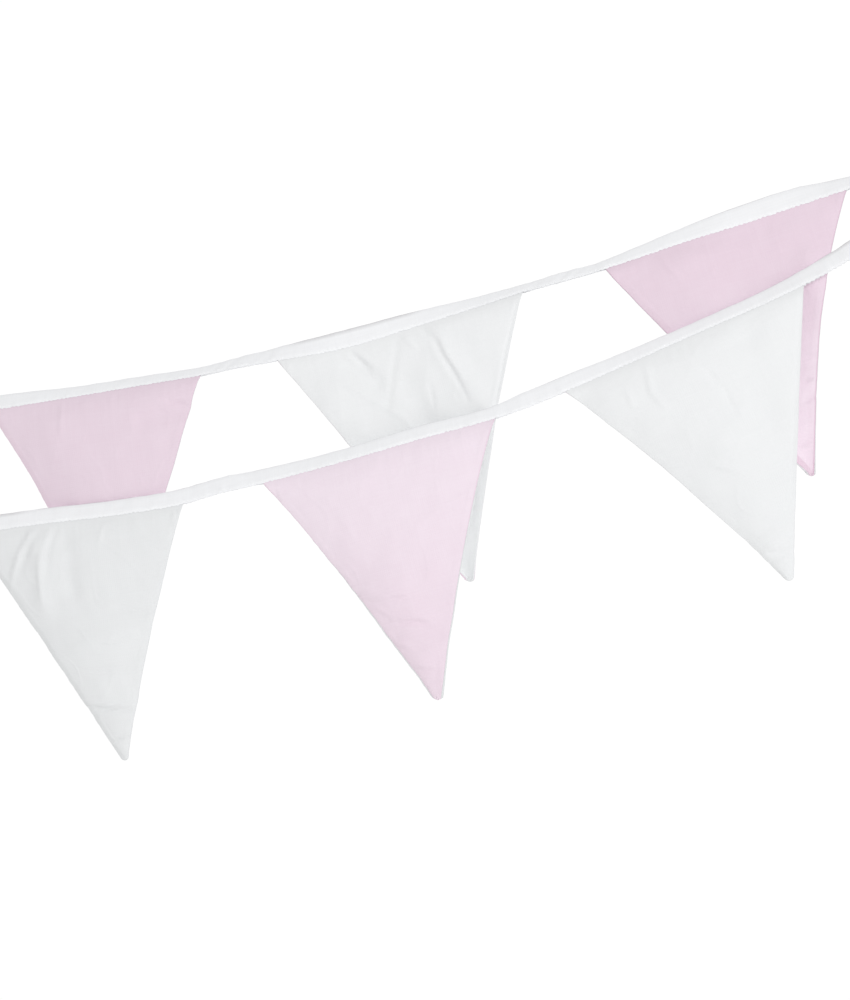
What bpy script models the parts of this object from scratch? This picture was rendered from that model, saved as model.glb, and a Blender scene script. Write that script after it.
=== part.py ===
"""Bunting: six double-sided triangular flags in two rows on one folded cotton tape.

The tape is doubled back at its hanging point, so the string hangs as a front row and a back row of
three flags each. Metres, +Z up. X runs along the rows and Y away from the viewer. The origin is on the
top edge of the tape, at the outside of its turn.
"""

import math
from collections import namedtuple

import bmesh
import bpy
import numpy as np
from mathutils import Vector

MM = 0.001

# Cloth and make
PLY = 1.0 * MM  # thickness of one cotton ply, and of one leaf of the tape
AIR = 0.3 * MM  # air between a flag's two plies
LEAF_AIR = 0.35 * MM  # air between a flag and each leaf of the tape
CLOSED_SLOT = 0.4 * MM  # air between the tape's leaves where no flag lies between them
OPEN_SLOT = 2 * PLY + AIR + 2 * LEAF_AIR  # the same where a flag's two plies lie between them
SLOT_LEAD = 2 * MM  # how far the tape stays open past each end of a flag
SLOT_EASE = 9 * MM  # the length over which it closes after that
SEAM_SHARE = 0.68  # share of the tape's depth that a flag's top edge reaches up into the fold

# Layout
ROW_SPACING = 23 * MM  # from the front row to the back row, also the width of the tape's turn
TURN_RADIUS = ROW_SPACING / 2
TURN_X = -(TURN_RADIUS + PLY + CLOSED_SLOT / 2)  # centre of the turn, so that its outside is at x = 0
EXIT_BEND = 7 * MM  # length over which a flag turns from the tape's lean to hanging straight
TIP_ROUND = 2 * MM  # how far the middle of a blunt tip reaches below its corners
NECK = 0.015  # share of a flag's drop that still follows the tape's lean
SETTLE = 0.05  # share of the drop over which a flag's own waves grow from nothing under the tape
BOW_HIGH = 0.8  # under 1, so that a bow or a swell is deepest a little above a flag's middle
FOLD_FLATS = 4  # flats round the outside of the tape's fold, twice as many as round its inside
TURN_REACH = 34 * MM  # length of tape on each side of the turn's middle that is divided more finely
TURN_STEP = 6 * MM
BARE_STEP = 22 * MM
STEP = 1 * MM  # spacing of the points that the tape's smooth route is read at

# The tape's lower edge, station by station: x and z in mm, the folded tape's depth in mm, and how far its
# top leans back in degrees. The front run goes from its free end to the turn, the back run on from there.
Station = namedtuple("Station", "x z depth lean")
FRONT_RUN = (
    Station(-940, -344, 14.5, 26),
    Station(-887, -337, 15.0, 27),
    Station(-820, -328, 15.0, 27),
    Station(-745, -319.5, 15.0, 28),
    Station(-689, -310.5, 15.0, 27),
    Station(-655, -301, 15.0, 28),
    Station(-620, -293.5, 14.5, 33),
    Station(-560, -278.5, 14.0, 38),
    Station(-484, -257.5, 14.0, 36),
    Station(-427, -242.5, 13.5, 36),
    Station(-400, -233.5, 15.0, 28),
    Station(-371, -222, 15.0, 30),
    Station(-320, -200.5, 14.0, 38),
    Station(-271, -179.5, 13.0, 40),
    Station(-187, -143, 14.5, 34),
    Station(-153, -124.5, 15.0, 26),
    Station(-100, -89.5, 15.0, 15),
    Station(-55, -56, 15.3, 7),
)
BACK_RUN = (
    Station(-61, -36.5, 15.0, 10),
    Station(-110, -53, 13.5, 24),
    Station(-154, -67.3, 12.5, 29),
    Station(-190, -78.2, 16.0, 17),
    Station(-234.5, -91.6, 16.0, 14),
    Station(-276, -103.2, 14.7, 27),
    Station(-322.5, -117.7, 12.4, 38),
    Station(-343.5, -123.9, 11.0, 44),
    Station(-378, -132.8, 12.0, 44),
    Station(-410, -140.7, 11.0, 48),
    Station(-438, -149.2, 12.4, 42),
    Station(-494.5, -165.5, 14.9, 27),
    Station(-560, -183.2, 15.9, 14),
    Station(-614.5, -191.9, 14.4, 32),
    Station(-651, -197.3, 13.0, 42),
    Station(-682, -203.3, 11.4, 45),
    Station(-718, -208.5, 12.0, 44),
    Station(-790, -219, 12.4, 40),
    Station(-864, -229.4, 14.9, 30),
    Station(-934, -239.5, 14.9, 26),
)
# The turn: the angle round its centre in degrees, and the lower edge's z and the tape's depth in mm.
Turn = namedtuple("Turn", "angle z depth")
TURN = (
    Turn(-90, -24, 15.5),
    Turn(-45, -17.6, 15.5),
    Turn(0, -15.5, 15.5),
    Turn(45, -17, 15.5),
    Turn(90, -20, 15.5),
)

# The flags. left and right are where the top edge starts and ends along the tape, and the tip is the middle
# of the blunt point, all in mm. The bows are how far each long side is drawn in from a straight line, and
# swell is how far the middle stands towards the viewer. columns and rows divide the cloth for its folds.
Flag = namedtuple(
    "Flag", "name run left right tip_x tip_z tip left_bow right_bow swell face back columns rows"
)
FLAGS = (
    Flag("front_left", "front", -884, -689, -744.5, -522.5, 7, 4.5, 1.2, 3, "white", "pink", 10, 13),
    Flag("front_middle", "front", -620, -427, -474.5, -464.5, 9, 4.5, 4.5, 5, "pink", "white", 10, 13),
    Flag("front_right", "front", -371, -187, -198, -366.5, 6, 4.5, 0.5, 3, "white", "pink", 10, 13),
    Flag("back_left", "back", -873.5, -682, -747.5, -419.5, 8, 3.0, 0, 3.8, "pink", "white", 10, 13),
    Flag("back_middle", "back", -614.5, -409, -453.5, -371, 8, 0.5, 3.0, -2, "white", "pink", 16, 17),
    Flag("back_right", "back", -342.5, -155, -182, -286, 6, -1.5, 9.0, 4.4, "pink", "white", 15, 13),
)

# Folds, each a soft ridge (height over 0, towards the viewer) or trough (under 0) that runs from one place
# on a flag to another. u goes from 0 at a flag's left side to 1 at its right, t from 0 at the tape to 1 at
# the tip, width is the half width of the fold and height its rise, both in mm.
Fold = namedtuple("Fold", "flag u1 t1 u2 t2 width height")
FOLDS = (
    Fold("front_left", 0.33, 0.02, 0.20, 0.32, 9, 3.5),
    Fold("front_left", 0.46, 0.02, 0.42, 0.28, 9, -3.0),
    Fold("front_left", 0.05, 0.55, 0.95, 0.44, 13, 2.0),
    Fold("front_left", 0.00, 0.80, 1.00, 0.77, 9, -2.0),
    Fold("front_middle", 0.00, 0.50, 0.45, 0.53, 11, 2.0),
    Fold("front_middle", 0.20, 0.66, 0.95, 0.68, 11, -1.8),
    Fold("front_middle", 0.00, 0.84, 1.00, 0.80, 9, 1.6),
    Fold("front_right", 0.10, 0.10, 0.55, 0.45, 16, 2.5),
    Fold("front_right", 0.75, 0.10, 0.80, 0.60, 14, -2.0),
    Fold("front_right", 0.20, 0.86, 0.90, 0.82, 8, 1.6),
    Fold("back_left", 0.76, 0.14, 1.00, 0.13, 8, -2.5),
    Fold("back_left", 0.30, 0.10, 0.45, 0.60, 18, 2.0),
    Fold("back_middle", 0.25, 0.02, 0.34, 0.16, 8, -3.0),
    Fold("back_middle", 0.62, 0.01, 0.94, 0.40, 9, 4.5),
    Fold("back_middle", 0.48, 0.20, 0.60, 0.52, 10, -3.5),
    Fold("back_middle", 0.10, 0.20, 0.35, 0.55, 15, 2.5),
    Fold("back_right", 0.88, 0.20, 1.00, 0.42, 9, 2.5),
    Fold("back_right", 0.30, 0.05, 0.45, 0.55, 18, 2.5),
    Fold("back_right", 0.80, 0.55, 1.00, 0.58, 8, -2.0),
)

# How far each flag's edges and tip curl away from the viewer, in mm, and the half width of the curl.
Curl = namedtuple("Curl", "left right tip reach")
CURLS = {
    "front_left": Curl(6, 1, 9, 16),
    "front_middle": Curl(5, 0, 5, 15),
    "front_right": Curl(4, 2, 4, 15),
    "back_left": Curl(3, 1, 3, 15),
    "back_middle": Curl(4, 3, 5, 16),
    "back_right": Curl(5, 3, 4, 15),
}

# Linear colours of the cottons
COTTON = {
    "white": (0.83, 0.84, 0.85),
    "pink": (0.87, 0.73, 0.83),
    "tape": (0.88, 0.88, 0.89),
}
COTTON_ROUGHNESS = 0.9


def clear_scene():
    for obj in list(bpy.data.objects):
        bpy.data.objects.remove(obj, do_unlink=True)


def cotton(name, colour):
    """A matt woven cotton of one colour."""
    material = bpy.data.materials.new(name)
    material.use_nodes = True
    shader = material.node_tree.nodes["Principled BSDF"]
    shader.inputs["Base Color"].default_value = (*COTTON[colour], 1)
    shader.inputs["Roughness"].default_value = COTTON_ROUGHNESS
    shader.inputs["Metallic"].default_value = 0
    return material


def tape_knots():
    """The lower edge's stations as rows of x, y, z, depth and lean, from one free end to the other.

    The lean is signed, so that both runs lean away from the viewer though the route turns round.
    """
    rows = [(k.x * MM, -TURN_RADIUS, k.z * MM, k.depth * MM, -math.radians(k.lean)) for k in FRONT_RUN]
    for k in TURN:
        angle = math.radians(k.angle)
        x = TURN_X + TURN_RADIUS * math.cos(angle)
        rows.append((x, TURN_RADIUS * math.sin(angle), k.z * MM, k.depth * MM, 0))
    rows += [(k.x * MM, TURN_RADIUS, k.z * MM, k.depth * MM, math.radians(k.lean)) for k in BACK_RUN]
    return np.array(rows)


def smooth_route(knots):
    """(distances, rows): a smooth curve through the knots, read every STEP along it."""
    gaps = np.linalg.norm(np.diff(knots[:, :3], axis=0), axis=1)
    at = np.concatenate([[0], np.cumsum(gaps)])
    slopes = np.gradient(knots, at, axis=0)
    distances = np.linspace(0, at[-1], int(at[-1] / STEP) + 1)
    i = np.clip(np.searchsorted(at, distances, side="right") - 1, 0, len(at) - 2)
    span = (at[i + 1] - at[i])[:, None]
    f = (distances - at[i])[:, None] / span
    rows = (
        (2 * f**3 - 3 * f**2 + 1) * knots[i]
        + (f**3 - 2 * f**2 + f) * span * slopes[i]
        + (3 * f**2 - 2 * f**3) * knots[i + 1]
        + (f**3 - f**2) * span * slopes[i + 1]
    )
    return distances, rows


DISTANCES, ROUTE = smooth_route(tape_knots())
MIDDLE = int(np.argmax(ROUTE[:, 0]))  # the turn's outermost point


def route_at(distance):
    return np.array([np.interp(distance, DISTANCES, column) for column in ROUTE.T])


def distance_at(run, x):
    """How far along the tape's route the given x is, on the front or the back run."""
    if run == "front":
        return float(np.interp(x, ROUTE[: MIDDLE + 1, 0], DISTANCES[: MIDDLE + 1]))
    return float(np.interp(-x, -ROUTE[MIDDLE:, 0], DISTANCES[MIDDLE:]))


Section = namedtuple("Section", "at up out rise depth lean")


def section(distance):
    """The tape's cross-section: its lower edge, the way up its leaves, the way across them, the upward
    normal of the route, its depth, and its lean away from the viewer."""
    here = route_at(distance)
    ahead, behind = route_at(distance + STEP), route_at(distance - STEP)
    along = Vector(ahead[:3] - behind[:3]).normalized()
    rise = (Vector((0, 0, 1)) - along * along.z).normalized()
    side = along.cross(rise)
    lean = here[4]
    up = rise * math.cos(lean) + side * math.sin(lean)
    out = side * math.cos(lean) - rise * math.sin(lean)
    return Section(Vector(here[:3]), up, out, rise, here[3], abs(lean))


def fold_arc(radius, height, flats):
    """A half circle over the given height as (across, up) pairs, from its near side to its far side."""
    angles = np.linspace(0, math.pi, flats + 1)
    return [(radius * math.cos(angle), height + radius * math.sin(angle)) for angle in angles]


def tape_profile(depth, slot):
    """The folded tape's closed outline as (across, up) pairs: two leaves joined by a round fold on top."""
    outer, inner = slot / 2 + PLY, slot / 2
    outside = fold_arc(outer, depth - outer, FOLD_FLATS)
    inside = fold_arc(inner, depth - outer, FOLD_FLATS // 2)
    return [(outer, 0), *outside, (-outer, 0), (-inner, 0), *reversed(inside), (inner, 0)]


def flag_columns(flag):
    """The distances along the tape at which the flag's columns of cloth hang."""
    first, last = (distance_at(flag.run, x * MM) for x in (flag.left, flag.right))
    return [first + (last - first) * i / flag.columns for i in range(flag.columns + 1)]


def slot_at(distance, spans):
    """The air between the tape's leaves: wide enough for a flag along each span, nearly closed elsewhere."""
    past = min(max(low - distance, distance - high, 0) for low, high in spans)
    share = min(max(1 - (past - SLOT_LEAD) / SLOT_EASE, 0), 1)
    return CLOSED_SLOT + (OPEN_SLOT - CLOSED_SLOT) * share


def tape_distances(columns):
    """Every distance at which the tape needs a cross-section: at each flag's columns, where its fold opens
    and closes, and along the bare stretches and the turn."""
    spans = sorted((min(c), max(c)) for c in columns)
    found = sorted(d for c in columns for d in c)
    edges = [DISTANCES[0]]
    for low, high in spans:
        found += [low - SLOT_LEAD, high + SLOT_LEAD]
        edges += [low - SLOT_LEAD - SLOT_EASE, high + SLOT_LEAD + SLOT_EASE]
    edges.append(DISTANCES[-1])
    middle = DISTANCES[MIDDLE]
    for start, end in zip(edges[::2], edges[1::2]):
        turning = (middle - TURN_REACH, middle + TURN_REACH) if start < middle < end else ()
        cuts = (start, *turning, end)
        for low, high in zip(cuts, cuts[1:]):
            pieces = math.ceil((high - low) / (TURN_STEP if low < middle < high else BARE_STEP))
            found += [low + (high - low) * i / pieces for i in range(pieces + 1)]
    return sorted(set(found)), spans


def build_tape(columns):
    """The binding: one strip folded in half lengthways, drawn along the whole route as one solid. Its first
    and last cross-sections stay as faces and close its ends."""
    distances, spans = tape_distances(columns)
    bm = bmesh.new()
    end = None
    for number, distance in enumerate(distances):
        s = section(distance)
        profile = tape_profile(s.depth, slot_at(distance, spans))
        places = [s.at + s.out * across + s.up * up for across, up in profile]
        if number == 0:
            end = bm.faces.new([bm.verts.new(p) for p in places])
            continue
        made = bmesh.ops.extrude_face_region(bm, geom=[end])["geom"]
        if number > 1:
            bm.faces.remove(end)
        end = next(g for g in made if isinstance(g, bmesh.types.BMFace))
        for vert, p in zip(end.verts, places):
            vert.co = p
    bmesh.ops.triangulate(bm, faces=bm.faces[:])
    bmesh.ops.recalc_face_normals(bm, faces=bm.faces[:])
    return finish("binding_tape", bm, "tape")


def flag_frame(flag):
    """(first, last, across): where the flag's top edge starts and ends along the tape, and its direction."""
    first, last = (distance_at(flag.run, x * MM) for x in (flag.left, flag.right))
    return first, last, (section(last).at - section(first).at).normalized()


def flat_place(flag, u, t):
    """(place, section): the in-plane place, from the tape to the blunt tip with bowed sides, and the tape's
    cross-section above it. u goes from 0 at the left side to 1 at the right, t from 0 at the tape to 1."""
    first, last, across = FRAMES[flag.name]
    s = section(first + (last - first) * u)
    tip = Vector(((flag.tip_x + (u - 0.5) * flag.tip) * MM, s.at.y, flag.tip_z * MM))
    tip.z -= TIP_ROUND * (1 - (2 * u - 1) ** 2)
    bow = (flag.left_bow * (1 - u) - flag.right_bow * u) * MM * math.sin(math.pi * t**BOW_HIGH)
    return s.at.lerp(tip, t) + across * bow, s


def fold_lines(flag):
    """The flag's folds, each with the places where it starts and ends."""
    lines = []
    for fold in FOLDS:
        if fold.flag == flag.name:
            start, end = flat_place(flag, fold.u1, fold.t1)[0], flat_place(flag, fold.u2, fold.t2)[0]
            lines.append((fold, start, end))
    return lines


def fold_height(flag, place):
    """How far the folds bring this place of a flag towards the viewer."""
    height = 0
    for fold, start, end in FOLD_LINES[flag.name]:
        run = end - start
        share = min(max((place - start).dot(run) / run.length_squared, 0), 1)
        off = (place - (start + run * share)).length / (fold.width * MM)
        height += fold.height * MM * math.exp(-(off**2))
    return height


def flag_place(flag, u, t):
    """A point of the cloth midway between a flag's two plies."""
    place, s = flat_place(flag, u, t)
    below = (s.at - place).dot(s.rise)
    width = (flat_place(flag, 1, t)[0] - flat_place(flag, 0, t)[0]).length
    curl = CURLS[flag.name]
    left, right = (math.exp(-share * width / (curl.reach * MM)) for share in (u, 1 - u))
    forward = flag.swell * MM * math.sin(math.pi * u) * math.sin(math.pi * t**BOW_HIGH)
    forward += fold_height(flag, place) - (curl.left * left + curl.right * right + curl.tip * t**4) * MM
    settled = 1 - math.exp(-((t / SETTLE) ** 2))
    exit_bend = math.tan(s.lean) * EXIT_BEND * (1 - math.exp(-below / EXIT_BEND))
    place.y -= exit_bend + forward * settled
    return place


def build_panel(flag, part, colour, way):
    """One ply of a flag, its top edge inside the tape's fold. way is 1 for the ply that faces the viewer
    and -1 for the one behind it, and AIR parts the two."""
    bm = bmesh.new()
    shares = [0, NECK] + [(i + 1) / flag.rows for i in range(flag.rows)]
    bmesh.ops.create_grid(bm, x_segments=flag.columns, y_segments=len(shares), size=0.5)
    for vert in bm.verts:
        u = vert.co.x + 0.5
        row = round((0.5 - vert.co.y) * len(shares))
        if row == 0:
            place, s = flat_place(flag, u, 0)
            vert.co = place + s.up * s.depth * SEAM_SHARE
        else:
            vert.co = flag_place(flag, u, shares[row - 1])
    bmesh.ops.triangulate(bm, faces=bm.faces[:])
    bm.normal_update()
    for vert, normal in [(v, v.normal.copy()) for v in bm.verts]:
        vert.co += normal * way * AIR / 2
    panel = finish(f"{flag.name}_{part}", bm, colour)
    ply = panel.modifiers.new("ply", "SOLIDIFY")
    ply.thickness = PLY
    ply.offset = way
    return panel


def finish(name, bm, colour):
    mesh = bpy.data.meshes.new(name)
    bm.to_mesh(mesh)
    bm.free()
    mesh.materials.append(cotton(f"{name} cotton", colour))
    obj = bpy.data.objects.new(name, mesh)
    bpy.context.scene.collection.objects.link(obj)
    return obj


FRAMES = {flag.name: flag_frame(flag) for flag in FLAGS}
FOLD_LINES = {flag.name: fold_lines(flag) for flag in FLAGS}
clear_scene()
build_tape([flag_columns(flag) for flag in FLAGS])
for flag in FLAGS:
    build_panel(flag, "face", flag.face, 1)
    build_panel(flag, "backing", flag.back, -1)
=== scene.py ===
"""Bunting, the looks: cotton flags, folded binding tape and its topstitching, in soft studio light.

Metres, +Z up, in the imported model's frame. X runs along the two rows and Y away from the viewer. The
tape's route and the flags' shapes repeat the tables of the part's source, and the cloth is finished here.
"""

import math
from collections import namedtuple

import bmesh
import bpy
import numpy as np
from mathutils import Matrix, Vector


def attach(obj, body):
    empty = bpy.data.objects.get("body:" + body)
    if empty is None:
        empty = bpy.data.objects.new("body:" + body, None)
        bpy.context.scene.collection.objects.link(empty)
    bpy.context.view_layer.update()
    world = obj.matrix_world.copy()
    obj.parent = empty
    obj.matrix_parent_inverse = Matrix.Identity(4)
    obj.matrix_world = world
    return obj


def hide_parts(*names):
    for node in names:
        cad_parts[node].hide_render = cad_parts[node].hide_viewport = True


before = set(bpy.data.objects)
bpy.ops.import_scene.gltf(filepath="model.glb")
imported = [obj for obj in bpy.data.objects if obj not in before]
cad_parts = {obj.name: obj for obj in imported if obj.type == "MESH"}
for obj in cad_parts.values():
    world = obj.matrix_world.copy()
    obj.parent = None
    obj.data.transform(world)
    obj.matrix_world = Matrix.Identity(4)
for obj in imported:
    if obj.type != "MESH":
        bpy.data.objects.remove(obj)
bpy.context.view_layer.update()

MM = 0.001

# ---------------------------------------------------------------------------------------------------------
# The hanging shape, as in the part's source
# ---------------------------------------------------------------------------------------------------------

ROW_SPACING = 23 * MM
TURN_RADIUS = ROW_SPACING / 2
TURN_X = -12.7 * MM  # centre of the tape's turn
EXIT_BEND = 7 * MM  # length over which a flag turns from the tape's lean to hanging straight
TIP_ROUND = 2 * MM  # how far the middle of a blunt tip reaches below its corners
SETTLE = 0.05  # share of the drop over which a flag's own waves grow from nothing under the tape
BOW_HIGH = 0.8  # under 1, the sides' bow and the swell are greatest above the middle of the drop
STEP = 1 * MM  # spacing of the points that the tape's smooth route is read at

# The tape's lower edge: x and z in mm, the folded depth in mm, and how far its top leans back in degrees.
Station = namedtuple("Station", "x z depth lean")
FRONT_RUN = (
    Station(-940, -344, 14.5, 26),
    Station(-887, -337, 15.0, 27),
    Station(-820, -328, 15.0, 27),
    Station(-745, -319.5, 15.0, 28),
    Station(-689, -310.5, 15.0, 27),
    Station(-655, -301, 15.0, 28),
    Station(-620, -293.5, 14.5, 33),
    Station(-560, -278.5, 14.0, 38),
    Station(-484, -257.5, 14.0, 36),
    Station(-427, -242.5, 13.5, 36),
    Station(-400, -233.5, 15.0, 28),
    Station(-371, -222, 15.0, 30),
    Station(-320, -200.5, 14.0, 38),
    Station(-271, -179.5, 13.0, 40),
    Station(-187, -143, 14.5, 34),
    Station(-153, -124.5, 15.0, 26),
    Station(-100, -89.5, 15.0, 15),
    Station(-55, -56, 15.3, 7),
)
BACK_RUN = (
    Station(-61, -36.5, 15.0, 10),
    Station(-110, -53, 13.5, 24),
    Station(-154, -67.3, 12.5, 29),
    Station(-190, -78.2, 16.0, 17),
    Station(-234.5, -91.6, 16.0, 14),
    Station(-276, -103.2, 14.7, 27),
    Station(-322.5, -117.7, 12.4, 38),
    Station(-343.5, -123.9, 11.0, 44),
    Station(-378, -132.8, 12.0, 44),
    Station(-410, -140.7, 11.0, 48),
    Station(-438, -149.2, 12.4, 42),
    Station(-494.5, -165.5, 14.9, 27),
    Station(-560, -183.2, 15.9, 14),
    Station(-614.5, -191.9, 14.4, 32),
    Station(-651, -197.3, 13.0, 42),
    Station(-682, -203.3, 11.4, 45),
    Station(-718, -208.5, 12.0, 44),
    Station(-790, -219, 12.4, 40),
    Station(-864, -229.4, 14.9, 30),
    Station(-934, -239.5, 14.9, 26),
)
Turn = namedtuple("Turn", "angle z depth")
TURN = (
    Turn(-90, -24, 15.5),
    Turn(-45, -17.6, 15.5),
    Turn(0, -15.5, 15.5),
    Turn(45, -17, 15.5),
    Turn(90, -20, 15.5),
)

# The flags, in mm: the top edge's ends along the tape, the tip's middle and width, how far the long sides
# are drawn in, and how far the middle stands towards the viewer.
Flag = namedtuple("Flag", "name run left right tip_x tip_z tip left_bow right_bow swell face back")
FLAGS = (
    Flag("front_left", "front", -884, -689, -744.5, -522.5, 7, 4.5, 1.2, 3, "white", "pink"),
    Flag("front_middle", "front", -620, -427, -474.5, -464.5, 9, 4.5, 4.5, 5, "pink", "white"),
    Flag("front_right", "front", -371, -187, -198, -366.5, 6, 4.5, 0.5, 3, "white", "pink"),
    Flag("back_left", "back", -873.5, -682, -747.5, -419.5, 8, 3.0, 0, 3.8, "pink", "white"),
    Flag("back_middle", "back", -614.5, -409, -453.5, -371, 8, 0.5, 3.0, -2, "white", "pink"),
    Flag("back_right", "back", -342.5, -155, -182, -286, 6, -1.5, 9.0, 4.4, "pink", "white"),
)

# The main folds, which the solids have too, some a little higher: each runs from one place on a flag to
# another, with u from 0 at its left side to 1 at its right and t from 0 at the tape to 1 at the tip. Half
# width and height are in mm.
Fold = namedtuple("Fold", "flag u1 t1 u2 t2 width height")
FOLDS = (
    Fold("front_left", 0.33, 0.02, 0.20, 0.32, 9, 2.5),
    Fold("front_left", 0.46, 0.02, 0.42, 0.28, 9, -2.0),
    Fold("front_left", 0.05, 0.55, 0.95, 0.44, 13, 2.0),
    Fold("front_left", 0.00, 0.80, 1.00, 0.77, 9, -2.0),
    Fold("front_middle", 0.00, 0.50, 0.45, 0.53, 11, 2.0),
    Fold("front_middle", 0.20, 0.66, 0.95, 0.68, 11, -1.8),
    Fold("front_middle", 0.00, 0.84, 1.00, 0.80, 9, 1.6),
    Fold("front_right", 0.10, 0.10, 0.55, 0.45, 16, 2.5),
    Fold("front_right", 0.75, 0.10, 0.80, 0.60, 14, -2.0),
    Fold("front_right", 0.20, 0.86, 0.90, 0.82, 8, 1.6),
    Fold("back_left", 0.76, 0.14, 1.00, 0.13, 8, -2.5),
    Fold("back_left", 0.30, 0.10, 0.45, 0.60, 18, 2.0),
    Fold("back_middle", 0.25, 0.02, 0.34, 0.16, 8, -3.0),
    Fold("back_middle", 0.62, 0.01, 0.94, 0.40, 9, 2.7),
    Fold("back_middle", 0.48, 0.20, 0.60, 0.52, 10, -2.4),
    Fold("back_middle", 0.10, 0.20, 0.35, 0.55, 15, 2.5),
    Fold("back_right", 0.88, 0.20, 1.00, 0.42, 9, 2.5),
    Fold("back_right", 0.30, 0.05, 0.45, 0.55, 18, 2.5),
    Fold("back_right", 0.80, 0.55, 1.00, 0.58, 8, -2.0),
)
Curl = namedtuple("Curl", "left right tip reach")
CURLS = {
    "front_left": Curl(6, 1, 9, 16),
    "front_middle": Curl(5, 0, 5, 15),
    "front_right": Curl(4, 2, 4, 15),
    "back_left": Curl(3, 1, 3, 15),
    "back_middle": Curl(4, 3, 5, 16),
    "back_right": Curl(5, 3, 4, 15),
}

# ---------------------------------------------------------------------------------------------------------
# Cloth details that only the looks have
# ---------------------------------------------------------------------------------------------------------

# Sharper creases on the flags: the (u, t) places each runs through, its half width and height in mm.
Crease = namedtuple("Crease", "flag places width height")
CREASES = (
    Crease("front_left", ((0.39, 0.02), (0.30, 0.14), (0.25, 0.22), (0.20, 0.31)), 2.4, 0.9),
    Crease("front_left", ((0.42, 0.02), (0.34, 0.13), (0.29, 0.22)), 2.6, -0.7),
    Crease("front_left", ((0.31, 0.02), (0.21, 0.10), (0.11, 0.18), (0.04, 0.24)), 2.2, 0.9),
    Crease("front_left", ((0.34, 0.03), (0.24, 0.11), (0.14, 0.19)), 2.4, -0.6),
    Crease("front_left", ((0.64, 0.03), (0.62, 0.10)), 2.0, 0.5),
    Crease("front_left", ((0.68, 0.37), (1.00, 0.43)), 2.2, -0.5),
    Crease("front_left", ((0.50, 0.52), (0.88, 0.52)), 1.6, -0.4),
    Crease("front_left", ((0.30, 0.62), (0.90, 0.635)), 1.8, -0.5),
    Crease("front_left", ((0.06, 0.75), (0.50, 0.765), (0.95, 0.78)), 1.6, 0.9),
    Crease("front_left", ((0.06, 0.772), (0.50, 0.784), (0.90, 0.795)), 1.6, -0.9),
    Crease("front_left", ((0.18, 0.92), (0.60, 0.905), (0.95, 0.905)), 1.4, -0.9),
    Crease("front_middle", ((0.04, 0.54), (0.22, 0.55), (0.46, 0.57)), 2.6, 0.8),
    Crease("front_middle", ((0.30, 0.57), (0.52, 0.585)), 2.0, -0.9),
    Crease("front_middle", ((0.10, 0.59), (0.22, 0.63)), 2.2, 0.4),
    Crease("front_middle", ((0.24, 0.65), (0.48, 0.66), (0.69, 0.69)), 2.4, 0.9),
    Crease("front_middle", ((0.28, 0.675), (0.52, 0.685), (0.70, 0.71)), 2.0, -0.9),
    Crease("front_middle", ((0.08, 0.75), (0.32, 0.77)), 2.4, 0.8),
    Crease("front_middle", ((0.22, 0.85), (0.78, 0.87)), 2.2, 0.9),
    Crease("front_right", ((0.28, 0.86), (0.74, 0.86)), 1.6, 0.6),
    Crease("front_right", ((0.26, 0.88), (0.90, 0.90)), 1.6, -0.6),
    Crease("front_right", ((0.42, 0.915), (0.90, 0.92)), 1.5, 0.5),
    Crease("front_right", ((0.32, 0.04), (0.27, 0.14), (0.28, 0.22)), 2.4, 0.8),
    Crease("front_right", ((0.19, 0.09), (0.16, 0.16)), 2.0, 0.6),
    Crease("front_right", ((0.52, 0.10), (0.58, 0.24), (0.60, 0.36)), 2.6, -0.5),
    Crease("front_right", ((0.30, 0.48), (0.52, 0.56)), 2.4, 0.5),
    Crease("front_right", ((0.982, 0.08), (0.97, 0.40), (0.95, 0.62), (0.92, 0.78)), 1.3, -0.5),
    Crease("back_left", ((0.84, 0.075), (0.93, 0.095), (1.00, 0.12)), 1.8, -0.9),
    Crease("back_left", ((0.85, 0.105), (0.94, 0.125), (1.00, 0.15)), 2.0, 0.7),
    Crease("back_left", ((0.35, 0.04), (0.30, 0.16)), 2.6, 0.4),
    Crease("back_middle", ((0.28, 0.01), (0.33, 0.10)), 2.2, -0.9),
    Crease("back_middle", ((0.31, 0.01), (0.36, 0.09)), 2.0, 0.6),
    Crease(
        "back_middle", ((0.58, 0.01), (0.64, 0.07), (0.67, 0.14), (0.74, 0.25), (0.80, 0.33)), 2.2, -1.0
    ),
    Crease("back_middle", ((0.615, 0.01), (0.67, 0.07), (0.70, 0.14), (0.77, 0.24)), 2.0, 0.9),
    Crease("back_middle", ((0.48, 0.04), (0.42, 0.15), (0.34, 0.27)), 3.0, -0.7),
    Crease("back_middle", ((0.51, 0.02), (0.56, 0.08)), 2.0, 0.6),
    Crease("back_middle", ((0.59, 0.23), (0.59, 0.32)), 2.2, -0.5),
    Crease("back_middle", ((0.20, 0.14), (0.40, 0.32), (0.46, 0.42)), 2.8, 0.5),
    Crease("back_middle", ((0.70, 0.52), (0.95, 0.56)), 2.2, 0.5),
    Crease("back_middle", ((0.985, 0.04), (0.98, 0.20), (0.975, 0.42)), 1.3, -0.5),
    Crease("back_right", ((0.88, 0.66), (0.99, 0.65)), 1.6, 0.9),
    Crease("back_right", ((0.80, 0.72), (0.99, 0.715)), 1.8, -1.0),
    Crease("back_right", ((0.56, 0.88), (0.95, 0.885)), 1.6, 0.9),
    Crease("back_right", ((0.22, 0.03), (0.25, 0.12)), 2.4, 0.5),
)
CREASE_RISE = 1.8  # the creases are modelled this much higher than the table says, to show in soft light

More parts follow.
